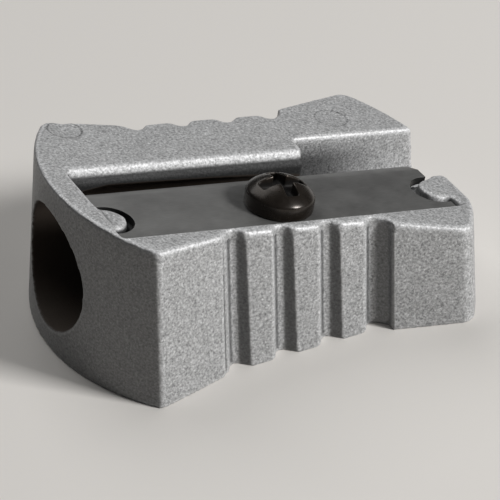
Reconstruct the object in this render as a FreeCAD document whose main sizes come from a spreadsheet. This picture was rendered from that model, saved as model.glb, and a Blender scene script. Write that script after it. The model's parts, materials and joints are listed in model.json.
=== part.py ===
"""Hand-held metal pencil sharpener: a die-cast wedge with one pencil hole, a steel blade and a screw.

Millimetres, +Z up. X runs along the pencil from the hole (-X) to the open end (+X), and the origin
is on the table under the middle of the wedge. The top of the wedge slopes down towards +X, and the
blade, its screw and its seat are drawn in a frame that lies in that sloping top.
"""
import FreeCAD, Part
import math
import os
import re

import Sketcher

SIZES = {
    # wedge outline, seen from above at the table
    "left_reach": 10.9,
    "front_reach": 10.85,
    "back_reach": 11.9,
    "left_width": 18.7,
    "right_width": 19.8,
    "waist_width": 15.6,
    "shoulder_width": 16.2,
    "left_end_radius": 14.0,
    "right_end_radius": 17.0,
    "side_draft": 3.7,
    "nose_corner_radius": 0.4,
    "corner_radius": 1.0,
    # finger grooves down both sides
    "groove_count": 4,
    "groove_pitch": 3.25,
    "groove_depth": 0.72,
    "groove_draft": 3.0,
    "bed_radius": 0.5,
    "lip_radius": 0.45,
    "left_slope": 60.0,
    "right_slope": 45.0,
    # sloping top and front rail
    "top_height": 8.93,
    "top_slope": 10.76,
    "rail_edge": 6.3,
    "mark_radius": 1.1,
    "mark_depth": 0.12,
    "left_mark_along": 9.85,
    "left_mark_across": 7.2,
    "right_mark_along": 9.1,
    "right_mark_across": 5.95,
    # pencil hole
    "hole_diameter": 8.2,
    "hole_offset": 0.43,
    "hole_height": 5.6,
    # shavings slot beside the cutting edge, and the open trench at the thin end
    "slot_edge": 2.2,
    "slot_foot": 1.75,
    "slot_depth": 2.6,
    "slot_overlap": 0.5,
    "trench_start": 4.9,
    "trench_front": 2.05,
    "trench_back": 3.65,
    "trench_depth": 3.4,
    "post_drop": 0.2,
    "post_land": 1.0,
    # blade
    "blade_length": 24.0,
    "blade_thickness": 0.5,
    "blade_recess": 0.48,
    "blade_clearance": 0.1,
    "blade_hole_clearance": 0.15,
    "bevel_width": 1.3,
    "edge_land": 0.03,
    "notch_across": 3.5,
    "notch_inset": 0.25,
    "notch_radius": 1.65,
    "tongue_across": 3.55,
    "tongue_width": 2.5,
    "tongue_radius": 1.3,
    "tongue_straight": 0.55,
    "tongue_root": 0.4,
    "tongue_drop": 0.3,
    # screw
    "screw_across": 3.7,
    "thread_diameter": 2.5,
    "thread_pitch": 0.45,
    "thread_depth": 0.25,
    "thread_length": 4.2,
    "thread_clearance": 0.05,
    "hole_spare": 0.5,
    "tip_chamfer": 0.25,
    "head_diameter": 4.45,
    "head_height": 2.0,
    "head_side": 1.0,
    "recess_span": 3.0,
    "recess_width": 0.8,
    "recess_depth": 0.9,
}

WORKED = {
    "cut_span": "2 * (left_reach + back_reach)",
    "groove_end": "groove_pitch * (groove_count - 1) / 2",
    "flare_depth": "(right_width - waist_width) / 2",
    "lip_touch": "lip_radius * sin(left_slope)",
    "lip_sink": "lip_radius * (1 - cos(left_slope))",
    "left_touch": "bed_radius * sin(left_slope)",
    "left_sink": "groove_depth - bed_radius * (1 - cos(left_slope))",
    "wall_run": "left_touch + (left_sink - lip_sink) / tan(left_slope)",
    "left_run": "wall_run + lip_touch",
    "right_touch": "bed_radius * sin(right_slope)",
    "right_sink": "groove_depth - bed_radius * (1 - cos(right_slope))",
    "right_run": "right_touch + right_sink / tan(right_slope)",
    "groove_middle": "(left_run - right_run) / 2 - groove_end",
    "seat_depth": "blade_recess + blade_thickness",
    "seat_half": "blade_length / 2 + blade_clearance",
    "seat_height": "top_height - seat_depth / cos(top_slope)",
    "hole_radius": "hole_diameter / 2",
    "guide_end": "(seat_height - hole_height - hole_radius) / tan(top_slope)",
    "cone_tip": "guide_end + hole_radius / tan(top_slope)",
    "thread_hole_radius": "thread_diameter / 2 + thread_clearance",
    "shank_length": "blade_thickness + thread_length",
    "core_radius": "thread_diameter / 2 - thread_depth",
    "dome_height": "head_height - head_side",
    "dome_radius": "(head_diameter ^ 2 / 4 + dome_height ^ 2) / (2 * dome_height)",
}

NAMES = re.compile(r"[a-z]+(?:_[a-z]+)+")


def formula(text):
    """The text of an expression, with each size's name led to the sheet that holds it."""
    def placed(match):
        name = match.group()
        return ("sizes." if name in SIZES else "worked.") + name
    return NAMES.sub(placed, text)


def fill_sheet(doc, sheet_name, cells):
    sheet = doc.addObject("Spreadsheet::Sheet", sheet_name)
    for row, (name, value) in enumerate(cells.items(), start=1):
        sheet.set(f"A{row}", name)
        sheet.set(f"B{row}", value if isinstance(value, str) else str(value))
        sheet.setAlias(f"B{row}", name)
    doc.recompute()
    return sheet


def bind(obj, **properties):
    for name, text in properties.items():
        obj.setExpression(name, formula(text))


def origin_feature(body, role):
    return next(part for part in body.Origin.OriginFeatures if part.Role == role)


def placement_text(across="0", lift="0", along="0", axis="0; 1; 0", turn="0"):
    """A placement as an expression: a shift, then a turn about one axis."""
    return (f"create(<<placement>>; create(<<vector>>; {along}; {across}; {lift}); "
            f"create(<<rotation>>; create(<<vector>>; {axis}); {turn}))")


def below_top(depth="0", across="0"):
    """The frame of the sloping top, sunk by a depth measured square to it."""
    return placement_text(along=f"-({depth}) * sin(top_slope)", turn="top_slope", across=across,
                          lift=f"top_height - ({depth}) * cos(top_slope)")


def new_body(doc, name):
    body = doc.addObject("PartDesign::Body", name)
    body.Label = name
    return body


def new_sketch(body, name, role="XY_Plane", frame=None):
    sketch = body.newObject("Sketcher::SketchObject", name)
    sketch.AttachmentSupport = [(origin_feature(body, role), "")]
    sketch.MapMode = "FlatFace"
    if frame:
        bind(sketch, AttachmentOffset=frame)
    return sketch


def fix_point(sketch, element, point, place):
    """Hold one point of a sketch at a pair of expressions."""
    for kind, text in zip(("DistanceX", "DistanceY"), place):
        value = sketch.evalExpression(formula(text))
        index = sketch.addConstraint(Sketcher.Constraint(kind, element, point, value))
        bind(sketch, **{f"Constraints[{index}]": text})


def fix_radius(sketch, element, radius):
    value = sketch.evalExpression(formula(radius))
    index = sketch.addConstraint(Sketcher.Constraint("Radius", element, value))
    bind(sketch, **{f"Constraints[{index}]": radius})


def add_outline(sketch, corners, arcs=None, hollows=None):
    """A closed outline, anticlockwise. A side with a radius bulges outwards in arcs, inwards in hollows."""
    hollows = hollows or {}
    radii = {**(arcs or {}), **hollows}
    points = [FreeCAD.Vector(*(sketch.evalExpression(formula(text)) for text in place), 0)
              for place in corners]
    first = sketch.GeometryCount
    for side, start in enumerate(points):
        end = points[(side + 1) % len(points)]
        if side in radii:
            radius = sketch.evalExpression(formula(radii[side]))
            if side in hollows:
                start, end = end, start
            chord = end - start
            inward = FreeCAD.Vector(-chord.y, chord.x, 0).normalize()
            centre = (start + end) / 2 + inward * math.sqrt(radius ** 2 - chord.Length ** 2 / 4)
            circle = Part.Circle(centre, FreeCAD.Vector(0, 0, 1), radius)
            sketch.addGeometry(Part.ArcOfCircle(circle, circle.parameter(start), circle.parameter(end)))
        else:
            sketch.addGeometry(Part.LineSegment(start, end))
    heads = [2 if side in hollows else 1 for side in range(len(points))]
    for side, place in enumerate(corners):
        following = (side + 1) % len(points)
        sketch.addConstraint(Sketcher.Constraint(
            "Coincident", first + side, 3 - heads[side], first + following, heads[following]))
        fix_point(sketch, first + side, heads[side], place)
        if side in radii:
            fix_radius(sketch, first + side, radii[side])


def add_rectangle(sketch, left, right, low, high):
    add_outline(sketch, [(left, low), (right, low), (right, high), (left, high)])


def add_circle(sketch, centre, radius):
    place = [sketch.evalExpression(formula(text)) for text in centre]
    size = sketch.evalExpression(formula(radius))
    circle = Part.Circle(FreeCAD.Vector(*place, 0), FreeCAD.Vector(0, 0, 1), size)
    element = sketch.addGeometry(circle)
    fix_point(sketch, element, 3, centre)
    fix_radius(sketch, element, radius)


def extrude(body, kind, name, sketch, length, **settings):
    """A Pad or a Pocket on a sketch. A feature that changes no volume, or spoils the solid, is an error."""
    before = body.Shape.Volume if body.Tip else 0.0
    feature = body.newObject(f"PartDesign::{kind}", name)
    feature.Profile = sketch
    for setting, value in settings.items():
        setattr(feature, setting, value)
    bind(feature, Length=length)
    body.Document.recompute()
    if abs(body.Shape.Volume - before) < 1e-6 or not body.Shape.isValid():
        raise RuntimeError(f"{name} changed nothing or spoiled the solid")
    return feature


def repeat_along_x(body, name, feature, count, pitch):
    pattern = body.newObject("PartDesign::LinearPattern", name)
    pattern.Originals = [feature]
    pattern.Direction = (origin_feature(body, "X_Axis"), [""])
    pattern.Mode = "Spacing"
    bind(pattern, Occurrences=count, Offset=pitch)
    body.Tip = pattern
    body.Document.recompute()


def round_edges(body, name, radius, wanted):
    """Fillet the edges of the body so far that the test picks."""
    base = body.Tip
    names = [f"Edge{index}" for index, edge in enumerate(base.Shape.Edges, start=1) if wanted(edge)]
    fillet = body.newObject("PartDesign::Fillet", name)
    fillet.Base = (base, names)
    bind(fillet, Radius=radius)
    body.Document.recompute()


def is_upright(edge):
    """True for an edge that climbs a corner of the block, however it is drafted."""
    heights = [vertex.Point.z for vertex in edge.Vertexes]
    return max(heights) - min(heights) > 0.9 * edge.Length


def make_body(doc):
    body = new_body(doc, "body")
    add_wedge(body)
    cut_grooves(body)
    slope_top(body)
    cut_blade_seat(body)
    cut_shavings_way(body)
    cut_pencil_hole(body)
    lower_post(body)
    drill_screw_hole(body)
    stamp_marks(body)
    return body


def add_wedge(body):
    """The drafted block: bowed ends, flared sides and a narrow waist for finger and thumb."""
    plan = new_sketch(body, "plan")
    corners = [("-left_reach", "-left_width / 2"), ("-groove_end", "-waist_width / 2"),
               ("groove_end", "-waist_width / 2"), ("groove_end", "-shoulder_width / 2"),
               ("front_reach", "-right_width / 2"), ("back_reach", "right_width / 2"),
               ("groove_end", "shoulder_width / 2"), ("groove_end", "waist_width / 2"),
               ("-groove_end", "waist_width / 2"), ("-left_reach", "left_width / 2")]
    add_outline(plan, corners, {4: "right_end_radius", 9: "left_end_radius"})
    wedge = extrude(body, "Pad", "wedge", plan, "top_height + 2 * left_reach * tan(top_slope)")
    bind(wedge, TaperAngle="-side_draft")
    body.Document.recompute()
    left_reach = plan.evalExpression(formula("left_reach"))
    front_reach = plan.evalExpression(formula("front_reach"))

    def is_nose(edge):
        foot = min((vertex.Point for vertex in edge.Vertexes), key=lambda point: point.z)
        return is_upright(edge) and abs(foot.x + left_reach) < 0.01 and foot.y < 0

    def is_corner(edge):
        foot = min((vertex.Point for vertex in edge.Vertexes), key=lambda point: point.z)
        at_left_back = abs(foot.x + left_reach) < 0.01 and foot.y > 0
        return is_upright(edge) and (at_left_back or foot.x > front_reach - 0.01)

    round_edges(body, "nose_corner", "nose_corner_radius", is_nose)
    round_edges(body, "corners", "corner_radius", is_corner)


def cut_grooves(body):
    """Finger grooves, the first one cut on each side and then repeated.

    The profile is given along the side and inwards from the waist: a round bed between two sloping
    walls, of which the left one rolls over a round lip.
    """
    profile = [("groove_middle + right_touch", "right_sink"), ("groove_middle - left_touch", "left_sink"),
               ("groove_middle - wall_run", "lip_sink"), ("groove_middle - left_run", "0"),
               ("groove_middle - left_run - flare_depth / tan(left_slope)", "-flare_depth"),
               ("groove_middle + right_run", "-flare_depth"), ("groove_middle + right_run", "0")]
    front = [(along, f"{inwards} - waist_width / 2") for along, inwards in profile]
    back = [(along, f"waist_width / 2 - ({inwards})") for along, inwards in reversed(profile)]
    sides = {"front": (front, "-groove_draft", 0, 2), "back": (back, "groove_draft", 5, 3)}
    for side, (corners, turn, bed, lip) in sides.items():
        sketch = new_sketch(body, f"{side}_groove_profile", frame=placement_text(axis="1; 0; 0", turn=turn))
        add_outline(sketch, corners, {bed: "bed_radius"}, {lip: "lip_radius"})
        groove = extrude(body, "Pocket", f"{side}_groove", sketch, "cut_span", SideType="Symmetric")
        repeat_along_x(body, f"{side}_grooves", groove, "groove_count", "groove_pitch")


def slope_top(body):
    top = new_sketch(body, "top_plane", frame=below_top())
    add_rectangle(top, "-cut_span", "cut_span", "-right_width", "right_width")
    extrude(body, "Pocket", "top_cut", top, "cut_span", Reversed=True)


def cut_pencil_hole(body):
    """A guide as wide as the pencil, then a cone whose top lies along the blade's underside."""
    frame = placement_text(lift="-hole_offset")
    profile = new_sketch(body, "pencil_profile", "XZ_Plane", frame)
    axis, wall = "hole_height", "hole_height + hole_radius"
    add_outline(profile, [("-cut_span", axis), ("cone_tip", axis), ("guide_end", wall), ("-cut_span", wall)])
    before = body.Shape.Volume
    hole = body.newObject("PartDesign::Groove", "pencil_hole")
    hole.Profile = profile
    hole.ReferenceAxis = (profile, ["Edge1"])
    hole.Angle = 360
    body.Document.recompute()
    if body.Shape.Volume > before - 1:
        raise RuntimeError("the pencil hole changed nothing")


def cut_blade_seat(body):
    """The flat seat between rail and slot, and the two round tongues that keep the blade in line."""
    seat = new_sketch(body, "seat_plan", frame=below_top())
    add_rectangle(seat, "-seat_half", "seat_half", "-rail_edge", "hole_offset - slot_overlap / 2")
    extrude(body, "Pocket", "seat", seat, "seat_depth")
    tongues = new_sketch(body, "tongue_plan", frame=below_top("seat_depth"))
    near, far = "-tongue_across - tongue_width / 2", "-tongue_across + tongue_width / 2"
    left_root, right_root = "-seat_half - tongue_root", "seat_half + tongue_root"
    left_nose, right_nose = "tongue_straight - seat_half", "seat_half - tongue_straight"
    add_outline(tongues, [(left_nose, near), (left_nose, far), (left_root, far), (left_root, near)],
                {0: "tongue_radius"})
    add_outline(tongues, [(right_nose, far), (right_nose, near), (right_root, near), (right_root, far)],
                {0: "tongue_radius"})
    extrude(body, "Pad", "tongues", tongues, "seat_depth - tongue_drop")


def cut_shavings_way(body):
    """The slot that lets shavings up past the edge, and the trench that lets them out."""
    across_top = placement_text(across="top_height", axis="1; 0; 0", turn="top_slope")
    section = new_sketch(body, "slot_section", "YZ_Plane", across_top)
    under_blade = "hole_offset - slot_overlap"
    add_outline(section, [(under_blade, "-slot_depth"), ("slot_foot", "-slot_depth"),
                          ("slot_foot", "-seat_depth"), ("slot_edge", "0"), (under_blade, "0")])
    slot = extrude(body, "Pocket", "slot", section, "seat_half", SideType="Two sides")
    bind(slot, Length2="trench_start + slot_overlap")
    trench = new_sketch(body, "trench_plan", frame=below_top())
    add_rectangle(trench, "trench_start", "cut_span", "-trench_front", "trench_back")
    extrude(body, "Pocket", "trench", trench, "trench_depth")


def lower_post(body):
    """The stub of end wall between rail and trench, set low and sloped off at the outside."""
    frame = placement_text(across="top_height", lift="trench_front - slot_overlap", axis="0; 0; 1",
                           turn="-top_slope")
    section = new_sketch(body, "post_section", "XZ_Plane", frame)
    crest = "seat_half + post_land"
    add_outline(section, [("blade_length / 2 - notch_radius", "-post_drop"), (crest, "-post_drop"),
                          ("cut_span", f"{crest} - cut_span - post_drop"), ("cut_span", "cut_span"),
                          ("blade_length / 2 - notch_radius", "cut_span")])
    extrude(body, "Pocket", "post_top", section, "rail_edge - trench_front + slot_overlap", Reversed=True)


def stamp_marks(body):
    """Round marks that the ejector pins of the casting mould leave on the top."""
    marks = new_sketch(body, "mark_plan", frame=below_top())
    add_circle(marks, ("-left_mark_along", "left_mark_across"), "mark_radius")
    add_circle(marks, ("right_mark_along", "right_mark_across"), "mark_radius")
    extrude(body, "Pocket", "ejector_marks", marks, "mark_depth")


def drill_screw_hole(body):
    hole = new_sketch(body, "screw_hole_plan", frame=below_top("seat_depth"))
    add_circle(hole, ("0", "-screw_across"), "thread_hole_radius")
    extrude(body, "Pocket", "screw_hole", hole, "thread_length + hole_spare")


def make_blade(doc):
    """The blade, drawn flat in its own frame with its underside at zero and laid on the seat."""
    blade = new_body(doc, "blade")
    section = new_sketch(blade, "blade_section", "YZ_Plane")
    add_outline(section, [("blade_clearance - rail_edge", "0"), ("hole_offset", "0"),
                          ("hole_offset", "edge_land"), ("hole_offset - bevel_width", "blade_thickness"),
                          ("blade_clearance - rail_edge", "blade_thickness")])
    extrude(blade, "Pad", "blank", section, "blade_length", SideType="Symmetric")
    openings = new_sketch(blade, "blade_openings")
    for notch_along in ("notch_inset - blade_length / 2", "blade_length / 2 - notch_inset"):
        add_circle(openings, (notch_along, "-notch_across"), "notch_radius")
    add_circle(openings, ("0", "-screw_across"), "thread_diameter / 2 + blade_hole_clearance")
    extrude(blade, "Pocket", "notches_and_hole", openings, "blade_thickness", Reversed=True)
    bind(blade, Placement=below_top("seat_depth"))
    return blade


def make_screw(doc):
    """The screw, drawn upright on the Z axis with the underside of its head at zero."""
    screw = new_body(doc, "screw")
    profile = new_sketch(screw, "screw_profile", "XZ_Plane")
    add_outline(profile, [("0", "-shank_length"), ("core_radius - tip_chamfer", "-shank_length"),
                          ("core_radius", "tip_chamfer - shank_length"), ("core_radius", "0"),
                          ("head_diameter / 2", "0"), ("head_diameter / 2", "head_side"),
                          ("0", "head_height")], {5: "dome_radius"})
    turned = screw.newObject("PartDesign::Revolution", "turned")
    turned.Profile = profile
    turned.ReferenceAxis = (profile, ["V_Axis"])
    turned.Angle = 360
    doc.recompute()
    cut_cross_recess(screw)
    add_thread(screw)
    bind(screw, Placement=below_top("blade_recess", "-screw_across"))
    return screw


def cut_cross_recess(screw):
    slots = {"x": ("recess_span", "recess_width"), "y": ("recess_width", "recess_span")}
    for name, (along, across) in slots.items():
        slot = new_sketch(screw, f"recess_plan_{name}", frame=placement_text(lift="head_height"))
        add_rectangle(slot, f"-{along} / 2", f"{along} / 2", f"-{across} / 2", f"{across} / 2")
        extrude(screw, "Pocket", f"recess_{name}", slot, "recess_depth")


def add_thread(screw):
    """One right-hand ridge wound up the shank."""
    ridge = new_sketch(screw, "thread_profile", "XZ_Plane")
    root, crest, start = "core_radius - thread_depth / 4", "thread_diameter / 2", "tip_chamfer - shank_length"
    add_outline(ridge, [(root, start), (crest, f"{start} + thread_pitch * 0.35"),
                        (crest, f"{start} + thread_pitch * 0.5"), (root, f"{start} + thread_pitch * 0.85")])
    thread = screw.newObject("PartDesign::AdditiveHelix", "thread")
    thread.Profile = ridge
    thread.ReferenceAxis = (ridge, ["V_Axis"])
    thread.Mode = "pitch-height-angle"
    bind(thread, Pitch="thread_pitch", Height="thread_length - 2 * thread_pitch")
    screw.Document.recompute()


def main():
    doc = FreeCAD.newDocument("pencil_sharpener")
    fill_sheet(doc, "sizes", SIZES)
    fill_sheet(doc, "worked", {name: "=" + formula(text) for name, text in WORKED.items()})
    pieces = [make_body(doc), make_blade(doc), make_screw(doc)]
    doc.recompute()
    for obj in doc.Objects:
        if "Invalid" in obj.State or "Error" in obj.State:
            raise RuntimeError(f"{obj.Name} is {obj.State}")
    for piece in pieces:
        if piece.Shape.isNull() or not piece.Shape.isValid():
            raise RuntimeError(f"{piece.Label} has no valid shape")
    os.makedirs("parts", exist_ok=True)
    for piece in pieces:
        piece.Shape.exportStep(f"parts/{piece.Label}.step")
        print(piece.Label, len(piece.Shape.Solids), round(piece.Shape.Volume, 3))


main()
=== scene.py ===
"""Looks for a hand-held wedge pencil sharpener: cast body, steel blade and black screw."""
import json
import math

import bmesh
import bpy
import numpy as np
from mathutils import Matrix, Vector


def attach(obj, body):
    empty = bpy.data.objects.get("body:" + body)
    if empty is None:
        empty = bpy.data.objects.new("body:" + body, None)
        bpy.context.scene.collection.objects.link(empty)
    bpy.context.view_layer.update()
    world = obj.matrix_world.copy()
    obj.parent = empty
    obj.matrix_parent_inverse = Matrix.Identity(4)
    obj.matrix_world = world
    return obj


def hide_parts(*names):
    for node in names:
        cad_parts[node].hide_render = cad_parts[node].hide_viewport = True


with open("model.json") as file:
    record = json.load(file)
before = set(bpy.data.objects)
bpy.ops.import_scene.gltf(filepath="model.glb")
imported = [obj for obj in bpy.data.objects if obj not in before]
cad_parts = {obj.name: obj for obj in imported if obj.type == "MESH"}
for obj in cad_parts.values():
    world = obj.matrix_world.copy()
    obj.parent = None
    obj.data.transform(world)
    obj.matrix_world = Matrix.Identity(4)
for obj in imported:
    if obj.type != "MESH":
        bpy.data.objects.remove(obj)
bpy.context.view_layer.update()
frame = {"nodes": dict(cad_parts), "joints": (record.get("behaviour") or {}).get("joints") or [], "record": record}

MM = 0.001

# Camera: where its axis meets the sharpener, and how it stands.
AIM = Vector((-2.447, -4.490, 6.322)) * MM
VIEW_DISTANCE = 185.34 * MM
VIEW_TURN = math.radians(27.453)
VIEW_DROP = math.radians(33.669)
VIEW_ROLL = math.radians(0.381)
LENS = 214.0
SENSOR = 36.0
CLIP_START = 10 * MM
CLIP_END = 10.0

# Studio: lamp places are directions from the sharpener, in turn and height.
FLOOR_SIZE = 3.0
FLOOR_COLOUR = (0.80, 0.77, 0.73, 1)
FLOOR_BOUNCE = (0.12, 0.117, 0.114, 1)
SEEN_RAYS = ("Is Camera Ray", "Is Glossy Ray", "Is Transmission Ray")
WORLD_COLOUR = (0.92, 0.96, 1.0, 1)
WORLD_LEVEL = 0.05
LAMP_DISTANCE = 0.5
KEY_TURN, KEY_HEIGHT, KEY_SIZE, KEY_POWER = -48, 31, 0.11, 2.35
SKY_TURN, SKY_HEIGHT, SKY_SIZE, SKY_POWER = 95, 52, 0.40, 0.92

# Softening: the grid that the cast and turned pieces are laid on, and how far they are eased there.
BODY_GRID, BODY_ROUNDS, BODY_TRIANGLES = 0.10 * MM, 8, 150_000
SCREW_GRID, SCREW_ROUNDS, SCREW_TRIANGLES = 0.05 * MM, 5, 40_000
SOFTENING = 0.5
RIM_ROUNDS, RIM_DEPTH = 24, 0.7
BEND, BEND_GAIN = "bend", 10.0
MERGE_GAP = 0.002 * MM
SHARP_ANGLE = math.radians(28)

# Shapes that the looks follow, in millimetres, from the frame where it gives them.
joints = {joint["name"]: joint for joint in frame["joints"]}
pencil_hole = next(mount for mount in frame["record"]["mounts"] if mount["name"] == "pencil_hole")
HOLE_ACROSS, HOLE_HEIGHT = (part / MM for part in pencil_hole["pos_m"][1:])
HOLE_RADIUS, HOLE_RIM = pencil_hole["dims"]["r_mm"], 0.15
LIFT_ALONG, _, LIFT_UP = joints["blade_lift"]["axis"]
TOP_SLOPE = math.atan2(LIFT_ALONG, LIFT_UP)
SCREW_ALONG, SCREW_ACROSS, SCREW_HEIGHT = (part / MM for part in joints["screw_turn"]["pos_m"])
BLADE_SINK, BLADE_THICKNESS = 0.48, 0.5
SEAT_SINK = BLADE_SINK + BLADE_THICKNESS
TOP_HEIGHT = SCREW_HEIGHT + SCREW_ALONG * math.tan(TOP_SLOPE) + BLADE_SINK / math.cos(TOP_SLOPE)
SEAT_HEIGHT = TOP_HEIGHT - SEAT_SINK / math.cos(TOP_SLOPE)
GUIDE_END = (SEAT_HEIGHT - HOLE_HEIGHT - HOLE_RADIUS) / math.tan(TOP_SLOPE)
SEAT_EDGE, SEAT_EDGE_REACH = -0.7, 1.2
TRENCH_BACK, TRENCH_CORNER = 3.65, 10.5
MARK_RADIUS, MARK_LINE = 1.1, 0.12
LEFT_MARK, RIGHT_MARK = (-9.7, 7.2), (8.95, 5.95)
RECESS_RADIUS, RECESS_LIFT, RECESS_RIM = 1.5, 1.48, 0.1

# Casting: grain in millimetres, its greys, and how much edge wear, ejector marks, painted highlights and painted
# shade change them.
GRAIN_SIZE, MOTTLE_SIZE, FLECK_SIZE = 0.16, 1.6, 0.12
CAST_GREY, CAST_GRAIN, CAST_MOTTLE, CAST_FLECK = 0.47, 1.35, 0.10, 0.16
CAST_ROUGHNESS, CAST_ROUGHNESS_SPREAD, HOLE_SHADE_ROUGHNESS = 0.58, 0.12, 0.2
# The painted shade on the wall of the pencil hole.
HOLE_SHADE_COLOUR = (0.065, 0.05, 0.039, 1)
WEAR_AND_HIGHLIGHT_GAIN, EDGE_HIGHLIGHT_GAIN, CORNER_SHADE_LOSS, MARK_LOSS, RIGHT_MARK_SHARE = 0.12, 0.096, 0.15, 0.28, 0.6
END_SHADE_LOSS, SKIN_SMOOTHING, SKIN_SHINE = 0.45, 0.35, 0.1
FOOT_LOSS, WALL_LOSS, LAST_WALL_LOSS = 0.65, 0.40, 0.10
SLOT_LOSS, TRENCH_LOSS = 0.93, 0.80

# Where each kind of wear, painted highlight and painted shade starts and where it is full: by bend, by turn
# towards +X, by place.
WORN_BEND, EDGE_HIGHLIGHT_BEND, CORNER_SHADE_BEND, FOOT_BEND = (0.25, 1.2), (0.14, 0.3), (-0.25, -1.2), (-0.05, -0.3)
SKIN_AND_SHADE_TURN, FOOT_TURN, WALL_TURN = (-0.45, -0.75), (0.1, 0.45), (-0.4, -0.65)
FLECK_NOISE = (0.10, 0.30)
SIDE_ACROSS, GROOVES_ALONG, LAST_GROOVE_ALONG = (6.2, 6.6), (-9, -8), (2.2, 4.6)
RAIL_ACROSS, SEAT_ALONG, TRENCH_ALONG, TRENCH_FADE = (6.5, 6.0), (-12.4, -12.0), (4.6, 5.4), (13.5, 5.0)
SLOT_SINK, TRENCH_SINK = (0.36, 0.64), (0.3, 1.9)
MARK_HEIGHT = (4, 5)

# Blade: ground streaks and mottle in millimetres, greys, a painted sheen, and painted shade on the edges cut
# square to its face.
STREAK_SIZE, STREAK_STRETCH, STAIN_SIZE = 0.10, (30, 1, 1), 2.6
BLADE_TINT = (1.0, 0.99, 0.96)
BLADE_GREY, BLADE_STREAK, BLADE_STAIN, BLADE_SHEEN = 0.205, 0.08, 0.22, 0.06
BLADE_ROUGHNESS, BLADE_ROUGHNESS_SPREAD = 0.42, 0.12
SHEEN_ALONG, CUT_RISE, CUT_LOSS = (0, -8), (0.6, 0.3), 0.85
BLADE_EDGE, EDGE_SAMPLES = 0.06 * MM, 8

# Screw: black finish, rubbed edges and painted shade in the recess.
FINISH_SIZE = 0.5
# A warm tint: the screw's own brown-black, and a painted warm reflection.
SCREW_TINT = (1.25, 1.0, 0.8)
SCREW_GREY, SCREW_MOTTLE, RUBBED_GAIN = 0.022, 0.02, 0.06
SCREW_ROUGHNESS, SCREW_ROUGHNESS_SPREAD = 0.26, 0.1
RECESS_SHADE_LOSS, RECESS_ROUGHNESS = 0.8, 0.4


class Value:
    """A shader socket; arithmetic on it adds Math nodes to its look."""

    def __init__(self, look, socket):
        self.look = look
        self.socket = socket

    def math(self, operation, first, second):
        return self.look.node("ShaderNodeMath", {"operation": operation}, {0: first, 1: second})

    def __add__(self, other):
        return self.math("ADD", self, other)

    def __radd__(self, other):
        return self.math("ADD", other, self)

    def __sub__(self, other):
        return self.math("SUBTRACT", self, other)

    def __rsub__(self, other):
        return self.math("SUBTRACT", other, self)

    def __mul__(self, other):
        return self.math("MULTIPLY", self, other)

    def __rmul__(self, other):
        return self.math("MULTIPLY", other, self)

    def __abs__(self):
        return self.math("ABSOLUTE", self, 0)

    def at_most(self, other):
        return self.math("MINIMUM", self, other)


class Look:
    """A material under construction."""

    def __init__(self, name):
        self.material = bpy.data.materials.new(name)
        self.material.use_nodes = True
        self.tree = self.material.node_tree
        self.tree.nodes.clear()

    def node(self, kind, settings=None, sockets=None, output=0):
        """Adds a node and gives the wanted output, if the node has any."""
        made = self.tree.nodes.new(kind)
        for name, value in (settings or {}).items():
            setattr(made, name, value)
        for name, value in (sockets or {}).items():
            if isinstance(value, Value):
                self.tree.links.new(value.socket, made.inputs[name])
            else:
                made.inputs[name].default_value = value
        return Value(self, made.outputs[output]) if made.outputs else None

    def place(self, stretch=(1, 1, 1)):
        """Object coordinates in millimetres, stretched along the axes."""
        coordinates = self.node("ShaderNodeTexCoord", output="Object")
        scale = [1 / (MM * share) for share in stretch]
        return self.node("ShaderNodeMapping", None, {"Vector": coordinates, "Scale": scale})

    def facing(self):
        """The parts of the surface's normal along the axes."""
        return self.axes(self.node("ShaderNodeTexCoord", output="Normal"))

    def noise(self, size, place, detail, roughness=0.55):
        """Noise about 0, within half a unit, whose blobs are about size millimetres across."""
        sockets = {"Vector": place, "Scale": 1 / size, "Detail": detail, "Roughness": roughness}
        return self.node("ShaderNodeTexNoise", None, sockets, "Fac") - 0.5

    def ramp(self, value, start, end, low=0.0, high=1.0):
        """Value from start to end, smoothly turned into low to high."""
        sockets = {"Value": value, "From Min": start, "From Max": end, "To Min": low, "To Max": high}
        return self.node("ShaderNodeMapRange", {"interpolation_type": "SMOOTHSTEP"}, sockets)

    def mix(self, factor, first, second):
        return self.node("ShaderNodeMix", {"data_type": "RGBA"}, {0: factor, 6: first, 7: second}, output=2)

    def grey(self, level, tint=(1, 1, 1)):
        channels = {channel: level * share for channel, share in enumerate(tint)}
        return self.node("ShaderNodeCombineColor", None, channels)

    def axes(self, vector):
        return [self.node("ShaderNodeSeparateXYZ", None, {0: vector}, axis) for axis in "XYZ"]

    def away(self, place, line, axes):
        """Distance from a line, given by a point on it and 0 for the axis that it runs along."""
        shift = [-part for part in line]
        flat = self.node("ShaderNodeMapping", None, {"Vector": place, "Location": shift, "Scale": axes})
        return self.node("ShaderNodeVectorMath", {"operation": "LENGTH"}, {0: flat}, "Value")

    def bend(self):
        """How sharply the surface turns here: above 0 on edges, below 0 in corners."""
        return self.node("ShaderNodeAttribute", {"attribute_name": BEND}, output="Fac")

    def bump(self, height, strength, distance, **sockets):
        sockets = {"Height": height, "Strength": strength, "Distance": distance, **sockets}
        return self.node("ShaderNodeBump", None, sockets)

    def finish(self, sockets):
        shader = self.node("ShaderNodeBsdfPrincipled", None, sockets)
        self.node("ShaderNodeOutputMaterial", None, {"Surface": shader})
        return self.material


def below_top(along, height):
    """How far a place lies under the sloping top, measured square to it."""
    return (TOP_HEIGHT - height - along * math.tan(TOP_SLOPE)) * math.cos(TOP_SLOPE)


def ejector_ring(look, place, centre):
    """1 along the round line that an ejector pin leaves on the top."""
    away = look.away(place, (*centre, 0), (1, 1, 0))
    return look.ramp(abs(away - MARK_RADIUS), MARK_LINE, 0)


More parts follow.
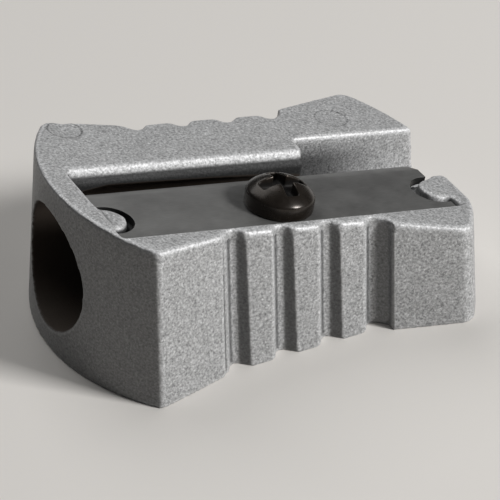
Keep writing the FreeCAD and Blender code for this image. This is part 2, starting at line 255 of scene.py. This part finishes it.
def hole_skin(look, place, along):
    """1 on the wall of the pencil hole, straight at first and then tapering."""
    taper = HOLE_RADIUS - (along - GUIDE_END) * math.tan(TOP_SLOPE)
    away = look.away(place, (0, HOLE_ACROSS, HOLE_HEIGHT), (0, 1, 1))
    return look.ramp(away - taper.at_most(HOLE_RADIUS), HOLE_RIM, 0)


def blade_shade(look, along, across, height):
    """Painted shade round the blade: black down the slot and the seat, paler along the open trench."""
    sink = below_top(along, height)
    between = look.ramp(abs(across), *RAIL_ACROSS) * look.ramp(along, *SEAT_ALONG)
    trench = look.ramp(along, *TRENCH_ALONG)
    slot_shade = SLOT_LOSS * look.ramp(sink, *SLOT_SINK) * (1 - trench)
    trench_shade = TRENCH_LOSS * look.ramp(sink, *TRENCH_SINK) * trench * look.ramp(along, *TRENCH_FADE)
    return (slot_shade + trench_shade) * between


def groove_shade(look, bend, turn, along, across):
    """Painted shade in the finger grooves: along their feet, and on the walls that face the hole's end."""
    foot_shade = look.ramp(bend, *FOOT_BEND) * look.ramp(turn, *FOOT_TURN)
    grooved = look.ramp(abs(across), *SIDE_ACROSS) * look.ramp(along, *GROOVES_ALONG)
    wall_shade = look.ramp(turn, *WALL_TURN) * grooved
    return FOOT_LOSS * foot_shade + wall_shade * look.ramp(along, *LAST_GROOVE_ALONG, WALL_LOSS, LAST_WALL_LOSS)


def cast_metal():
    """Sand-blasted die casting: mottled grey with a fine bright and dark grain.

    Faces turned to the hole's end have a smoother skin and painted shade. Painted shade blackens the inside of
    the hole and darkens the grooves, the slot, the trench and concave corners; painted highlights brighten worn
    edges.
    """
    look = Look("cast_metal")
    place = look.place()
    along, across, height = look.axes(place)
    grain = look.noise(GRAIN_SIZE, place, detail=3, roughness=0.7)
    mottle = look.noise(MOTTLE_SIZE, place, detail=3)
    fleck = look.ramp(look.noise(FLECK_SIZE, place, detail=0), *FLECK_NOISE)
    turn = look.facing()[0]
    # Painted shade on faces turned to the hole's end, which also get a smoother grain and less roughness.
    skin_and_shade = look.ramp(turn, *SKIN_AND_SHADE_TURN)
    coarse = 1 - SKIN_SMOOTHING * skin_and_shade
    bend = look.bend()
    # Edge wear and painted highlights on the rounded edges.
    wear_and_highlight = WEAR_AND_HIGHLIGHT_GAIN * look.ramp(bend, *WORN_BEND) + EDGE_HIGHLIGHT_GAIN * look.ramp(bend, *EDGE_HIGHLIGHT_BEND)
    # Painted shade in concave corners.
    corner_shade = CORNER_SHADE_LOSS * look.ramp(bend, *CORNER_SHADE_BEND)
    ring = ejector_ring(look, place, LEFT_MARK) + RIGHT_MARK_SHARE * ejector_ring(look, place, RIGHT_MARK)
    marks = MARK_LOSS * ring * look.ramp(height, *MARK_HEIGHT)
    metal = CAST_GREY + CAST_MOTTLE * mottle + coarse * (CAST_GRAIN * grain + CAST_FLECK * fleck)
    # Painted shade in the finger grooves.
    painted_groove_shade = groove_shade(look, bend, turn, along, across)
    # Painted shade round the blade, in the slot, the seat and the trench.
    painted_blade_shade = blade_shade(look, along, across, height)
    level = (metal + wear_and_highlight - corner_shade - marks) * (1 - END_SHADE_LOSS * skin_and_shade) * (1 - painted_groove_shade) * (1 - painted_blade_shade)
    # Painted shade on the wall of the pencil hole.
    hole_shade = hole_skin(look, place, along)
    roughness = CAST_ROUGHNESS - SKIN_SHINE * skin_and_shade + CAST_ROUGHNESS_SPREAD * mottle
    return look.finish({
        "Base Color": look.mix(hole_shade, look.grey(level), HOLE_SHADE_COLOUR),
        "Metallic": 0.4,
        "Roughness": roughness + HOLE_SHADE_ROUGHNESS * hole_shade,
        "Normal": look.bump(grain * coarse, strength=0.5, distance=0.05 * MM)})


def blade_steel():
    """Dark hardened steel, ground along its length, with a painted sheen towards -X and painted shade on its cut
    ends and in its notches.
    """
    look = Look("blade_steel")
    place = look.place()
    along = look.axes(place)[0]
    streak = look.noise(STREAK_SIZE, look.place(STREAK_STRETCH), detail=2)
    stain = look.noise(STAIN_SIZE, place, detail=3)
    # A painted sheen, paler towards -X.
    sheen = look.ramp(along, *SHEEN_ALONG, 0, BLADE_SHEEN)
    # Painted shade on the faces cut square to the blade's face.
    cut_shade = look.ramp(abs(look.facing()[2]), *CUT_RISE)
    level = (BLADE_GREY + BLADE_STREAK * streak + BLADE_STAIN * stain + sheen) * (1 - CUT_LOSS * cut_shade)
    rounded = look.node("ShaderNodeBevel", {"samples": EDGE_SAMPLES}, {"Radius": BLADE_EDGE})
    return look.finish({
        "Base Color": look.grey(level, BLADE_TINT),
        "Metallic": 0.6,
        "Roughness": BLADE_ROUGHNESS + BLADE_ROUGHNESS_SPREAD * streak,
        "Normal": look.bump(streak, strength=0.12, distance=0.01 * MM, Normal=rounded)})


def screw_recess(look, place):
    """1 inside the cross recess of the screw's head."""
    along, _, height = look.axes(place)
    middle = (SCREW_ALONG + RECESS_LIFT * LIFT_ALONG, SCREW_ACROSS, 0)
    away = look.away(place, middle, (1, 1, 0))
    within = look.ramp(away, RECESS_RADIUS + RECESS_RIM, RECESS_RADIUS - RECESS_RIM)
    lift = BLADE_SINK - below_top(along, height)
    return within * look.ramp(lift, RECESS_LIFT + 2 * RECESS_RIM, RECESS_LIFT - RECESS_RIM)


def black_screw():
    """Glossy black finish on a domed screw head, paler where the edges are rubbed, with painted shade in its cross
    recess.
    """
    look = Look("black_screw")
    place = look.place()
    mottle = look.noise(FINISH_SIZE, place, detail=3)
    rubbed = RUBBED_GAIN * look.ramp(look.bend(), *WORN_BEND)
    # Painted shade inside the cross recess.
    recess_shade = screw_recess(look, place)
    level = (SCREW_GREY + SCREW_MOTTLE * mottle + rubbed) * (1 - RECESS_SHADE_LOSS * recess_shade)
    return look.finish({
        "Base Color": look.grey(level, SCREW_TINT),
        "Metallic": 0.5,
        "Roughness": SCREW_ROUGHNESS + SCREW_ROUGHNESS_SPREAD * mottle + RECESS_ROUGHNESS * recess_shade,
        "Normal": look.bump(mottle, strength=0.08, distance=0.03 * MM)})


def plain_floor():
    """Pale matt paper, which throws little light up at the sharpener."""
    look = Look("plain_floor")
    seen = sum(look.node("ShaderNodeLightPath", output=ray) for ray in SEEN_RAYS)
    return look.finish({
        "Base Color": look.mix(seen, FLOOR_BOUNCE, FLOOR_COLOUR),
        "Roughness": 0.8,
        "Specular IOR Level": 0.2})


def merged_copy(node):
    """A CAD node's shape with its loose triangles joined and no stored normals."""
    mesh = frame["nodes"][node].data.copy()
    mesh.name = node + "_finish"
    if "custom_normal" in mesh.attributes:
        mesh.attributes.remove(mesh.attributes["custom_normal"])
    shape = bmesh.new()
    shape.from_mesh(mesh)
    bmesh.ops.remove_doubles(shape, verts=shape.verts, dist=MERGE_GAP)
    shape.to_mesh(mesh)
    shape.free()
    return mesh


def changed(mesh, *modifiers):
    """The mesh that a row of modifiers gives, each a type with its settings."""
    holder = bpy.data.objects.new("holder", mesh)
    bpy.context.scene.collection.objects.link(holder)
    for kind, settings in modifiers:
        modifier = holder.modifiers.new(kind.lower(), kind)
        for name, value in settings.items():
            setattr(modifier, name, value)
    result = holder.evaluated_get(bpy.context.evaluated_depsgraph_get())
    made = bpy.data.meshes.new_from_object(result)
    made.name = mesh.name
    bpy.data.objects.remove(holder)
    return made


def soften(mesh, grid, rounds, triangles, softest):
    """The shape on an even grid, with its edges and corners eased as a casting's are.

    How it turns is measured there, before the grid is thinned out to a number of triangles.
    """
    eased = changed(mesh, ("REMESH", {"mode": "VOXEL", "voxel_size": grid}),
                    ("SMOOTH", {"factor": SOFTENING, "iterations": rounds}))
    ease_further(eased, softest)
    store_bend(eased, grid)
    return changed(eased, ("DECIMATE", {"ratio": triangles / (2 * len(eased.polygons))}))


def read_points(mesh):
    """Places and normals of a mesh's points, one row each."""
    places = np.empty(len(mesh.vertices) * 3)
    mesh.vertices.foreach_get("co", places)
    normals = np.empty(len(mesh.vertices) * 3)
    mesh.vertex_normals.foreach_get("vector", normals)
    return places.reshape(-1, 3), normals.reshape(-1, 3)


def read_edges(mesh):
    """The points at the two ends of each edge of a mesh."""
    edges = np.empty(len(mesh.edges) * 2, dtype=int)
    mesh.edges.foreach_get("vertices", edges)
    return edges.reshape(-1, 2).T


def lean(places, first, second):
    """The step from each point to the middle of its neighbours."""
    step = places[second] - places[first]
    count = len(places)
    near = np.bincount(first, minlength=count) + np.bincount(second, minlength=count)
    total = [np.bincount(first, part, count) - np.bincount(second, part, count) for part in step.T]
    return (np.array(total) / near).T


def body_rims(along, across, height):
    """The rims of the sloping top, the open end of the trench and the thin edge of the seat."""
    sink = below_top(along, height)
    top = np.abs(sink) < RIM_DEPTH
    trench = (np.abs(across - TRENCH_BACK) < RIM_DEPTH) & (along > TRENCH_CORNER)
    seat = (np.abs(sink - SEAT_SINK) < RIM_DEPTH) & (np.abs(across - SEAT_EDGE) < SEAT_EDGE_REACH)
    return top | trench | seat


def screw_head(along, across, height):
    """What stands above the blade."""
    return below_top(along, height) < BLADE_SINK


def ease_further(mesh, softest):
    """Round the points that softest picks further than the others."""
    places, _ = read_points(mesh)
    picked = softest(*(places / MM).T)
    edges = read_edges(mesh)
    for _ in range(RIM_ROUNDS):
        places[picked] += SOFTENING * lean(places, *edges)[picked]
    mesh.vertices.foreach_set("co", places.ravel())
    mesh.update()


def store_bend(mesh, grid):
    """Measure how sharply the surface turns at each point, against the grid's step."""
    places, normals = read_points(mesh)
    turn = -(lean(places, *read_edges(mesh)) * normals).sum(axis=1) / grid
    mesh.attributes.new(BEND, "FLOAT", "POINT").data.foreach_set("value", turn * BEND_GAIN)


def dress(node, material, mesh):
    """A finished shape for a CAD node, standing for it and moving with its body."""
    mesh.shade_smooth()
    mesh.materials.clear()
    mesh.materials.append(material)
    piece = bpy.data.objects.new(node + "_finish", mesh)
    bpy.context.scene.collection.objects.link(piece)
    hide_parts(node)
    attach(piece, node)


def dress_body():
    mesh = soften(merged_copy("body"), BODY_GRID, BODY_ROUNDS, BODY_TRIANGLES, body_rims)
    dress("body", cast_metal(), mesh)


def dress_screw():
    mesh = soften(merged_copy("screw"), SCREW_GRID, SCREW_ROUNDS, SCREW_TRIANGLES, screw_head)
    dress("screw", black_screw(), mesh)


def dress_blade():
    mesh = merged_copy("blade")
    dress("blade", blade_steel(), mesh)
    mesh.set_sharp_from_angle(angle=SHARP_ANGLE)


def lay_floor():
    half = FLOOR_SIZE / 2
    mesh = bpy.data.meshes.new("floor")
    corners = [(-half, -half, 0), (half, -half, 0), (half, half, 0), (-half, half, 0)]
    mesh.from_pydata(corners, [], [(0, 1, 2, 3)])
    mesh.materials.append(plain_floor())
    floor = bpy.data.objects.new("floor", mesh)
    bpy.context.scene.collection.objects.link(floor)


def hang_lamp(name, turn, height, size, power):
    """A square lamp facing the sharpener; turn is from +X towards +Y."""
    turn = math.radians(turn)
    height = math.radians(height)
    away = Vector((math.cos(turn) * math.cos(height), math.sin(turn) * math.cos(height), math.sin(height)))
    light = bpy.data.lights.new(name, "AREA")
    light.shape = "SQUARE"
    light.size = size
    light.energy = power
    lamp = bpy.data.objects.new(name, light)
    lamp.location = away * LAMP_DISTANCE
    lamp.rotation_euler = away.to_track_quat("Z", "Y").to_euler()
    bpy.context.scene.collection.objects.link(lamp)


def light_studio():
    hang_lamp("key_lamp", KEY_TURN, KEY_HEIGHT, KEY_SIZE, KEY_POWER)
    hang_lamp("sky_lamp", SKY_TURN, SKY_HEIGHT, SKY_SIZE, SKY_POWER)
    world = bpy.data.worlds.new("studio")
    world.use_nodes = True
    background = world.node_tree.nodes["Background"]
    background.inputs["Color"].default_value = WORLD_COLOUR
    background.inputs["Strength"].default_value = WORLD_LEVEL
    bpy.context.scene.world = world


def set_camera():
    """Looks along the photograph's line of sight."""
    forward = Vector((
        math.sin(VIEW_TURN) * math.cos(VIEW_DROP),
        math.cos(VIEW_TURN) * math.cos(VIEW_DROP),
        -math.sin(VIEW_DROP)))
    level = Vector((math.cos(VIEW_TURN), -math.sin(VIEW_TURN), 0))
    upright = level.cross(forward)
    right = math.cos(VIEW_ROLL) * level + math.sin(VIEW_ROLL) * upright
    up = math.cos(VIEW_ROLL) * upright - math.sin(VIEW_ROLL) * level
    lens = bpy.data.cameras.new("camera")
    lens.lens = LENS
    lens.sensor_width = SENSOR
    lens.clip_start = CLIP_START
    lens.clip_end = CLIP_END
    camera = bpy.data.objects.new("camera", lens)
    turn = Matrix((right, up, -forward)).transposed().to_4x4()
    camera.matrix_world = Matrix.Translation(AIM - VIEW_DISTANCE * forward) @ turn
    bpy.context.scene.collection.objects.link(camera)
    bpy.context.scene.camera = camera


dress_body()
dress_screw()
dress_blade()
lay_floor()
light_studio()
set_camera()
bpy.context.scene.view_settings.view_transform = "Standard"
